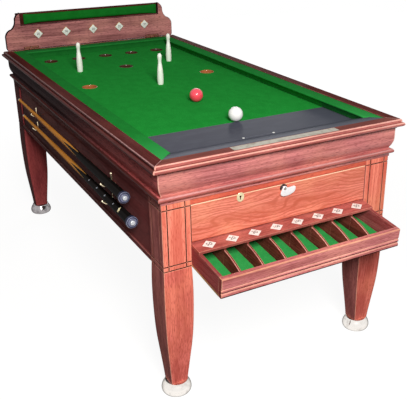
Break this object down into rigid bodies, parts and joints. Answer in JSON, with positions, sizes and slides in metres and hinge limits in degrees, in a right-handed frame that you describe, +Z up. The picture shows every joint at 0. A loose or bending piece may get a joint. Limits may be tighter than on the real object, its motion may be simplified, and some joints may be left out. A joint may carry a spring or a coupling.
{
  "type": "bagatelle table",
  "caption": "Four-legged bagatelle table with a cloth bed and drop holes, sloped ball return with a divided front tray, drop flap, folding headboard, cues on side hooks, balls and skittles.",
  "frame": {"origin": "on the floor, under the middle of the overall length and the middle of the table's width", "axes": "+Z up, +Y from the player's end with the tray to the headboard, +X to the player's right; the cues hang on the -X side"},
  "size_m": [0.9488, 2.0137, 1.031],
  "materials": {
    "mahogany": "french-polished red-brown mahogany",
    "dark_wood": "dark stained",
    "deal": "plain unfinished softwood",
    "green_cloth": "napped green wool cloth",
    "grey_cloth": "smooth dark grey cloth",
    "turned_ring": "turned and polished",
    "white_plate": "polished white, plain numerals",
    "plated_steel": "polished nickel plate",
    "strip_metal": "satin",
    "steel": "plain",
    "aged_brass": "dull, aged",
    "brass": "polished",
    "ash": "polished pale ash, leather tip",
    "ebony": "polished black with pale splices",
    "cue_cap": "grey ring with a bright centre",
    "ball_red": "polished",
    "ball_white": "polished",
    "ivory": "polished ivory-white"
  },
  "bodies": {
    "table": {"back_panel": "mahogany", "baulk_mat": "grey_cloth", "baulk_ramp": "grey_cloth", "baulk_spots": "white_plate", "bed_bearers": "deal", "bed_board": "deal", "bed_cloth": "green_cloth", "cap_rail_back": "mahogany", "cap_rail_front": "mahogany", "cap_rail_sides": "mahogany", "cue_hooks": "brass", "cushion_far": "green_cloth", "cushion_left": "green_cloth", "cushion_right": "green_cloth", "foot_cups": "plated_steel", "frieze_beads": "mahogany", "frieze_ends": "mahogany", "frieze_sides": "mahogany", "front_rail": "mahogany", "hinge_rail_leaves": "aged_brass", "hole_rings": "turned_ring", "label_board": "mahogany", "leg_back_left": "mahogany", "leg_back_right": "mahogany", "leg_front_left": "mahogany", "leg_front_right": "mahogany", "number_plates": "white_plate", "panel_strips": "mahogany", "rest_strip": "strip_metal", "runway_bearers": "deal", "runway_dividers": "mahogany", "runway_floor": "deal", "runway_walls": "mahogany", "side_panels": "mahogany", "tray_dividers": "mahogany", "tray_front": "mahogany", "tray_lining": "green_cloth"},
    "flap": {"front_flap": "mahogany", "flap_pivots": "steel", "lock_case": "steel", "key_plate": "plated_steel", "catch_screw": "plated_steel"},
    "catch": {"catch_lever": "plated_steel"},
    "bolt": {"lock_bolt": "steel"},
    "headboard": {"headboard": "mahogany", "headboard_back": "dark_wood", "headboard_pad": "green_cloth", "score_plates": "white_plate", "hinge_board_leaves": "aged_brass"},
    "cue_upper": {"cue_upper_shaft": "ash", "cue_upper_butt": "ebony", "cue_upper_cap": "cue_cap"},
    "cue_lower": {"cue_lower_shaft": "ash", "cue_lower_butt": "ebony", "cue_lower_cap": "cue_cap"},
    "red_ball": {"ball_red": "ball_red"},
    "white_ball": {"ball_white": "ball_white"},
    "skittle_a": {"skittle_left": "ivory"},
    "skittle_b": {"skittle_right": "ivory"},
    "skittle_c": {"skittle_centre": "ivory"}
  },
  "joints": [
    {"name": "flap_hinge", "type": "hinge", "parent": "table", "child": "flap", "pos_m": [0, -0.8065, 0.573], "axis": [1, 0, 0], "range_deg": [0, 80]},
    {"name": "catch_turn", "type": "hinge", "parent": "flap", "child": "catch", "pos_m": [0, -0.8125, 0.681], "axis": [0, -1, 0], "range_deg": [0, 45]},
    {"name": "bolt_slide", "type": "slide", "parent": "flap", "child": "bolt", "axis": [0, 0, 1], "range_m": [0, 0.008]},
    {"name": "headboard_fold", "type": "hinge", "parent": "table", "child": "headboard", "pos_m": [0, 0.9704, 0.8536], "axis": [1, 0, 0], "range_deg": [0, 90]},
    {"name": "cue_upper_lift", "type": "slide", "parent": "table", "child": "cue_upper", "axis": [-0.7071, 0, 0.7071], "range_m": [0, 0.08]},
    {"name": "cue_lower_lift", "type": "slide", "parent": "table", "child": "cue_lower", "axis": [-0.7071, 0, 0.7071], "range_m": [0, 0.08]},
    {"name": "red_ball_lift", "type": "slide", "parent": "table", "child": "red_ball", "axis": [0, 0, 1], "range_m": [0, 0.15]},
    {"name": "white_ball_lift", "type": "slide", "parent": "table", "child": "white_ball", "axis": [0, 0, 1], "range_m": [0, 0.15]},
    {"name": "skittle_a_lift", "type": "slide", "parent": "table", "child": "skittle_a", "axis": [0, 0, 1], "range_m": [0, 0.15]},
    {"name": "skittle_b_lift", "type": "slide", "parent": "table", "child": "skittle_b", "axis": [0, 0, 1], "range_m": [0, 0.15]},
    {"name": "skittle_c_lift", "type": "slide", "parent": "table", "child": "skittle_c", "axis": [0, 0, 1], "range_m": [0, 0.15]}
  ]
}
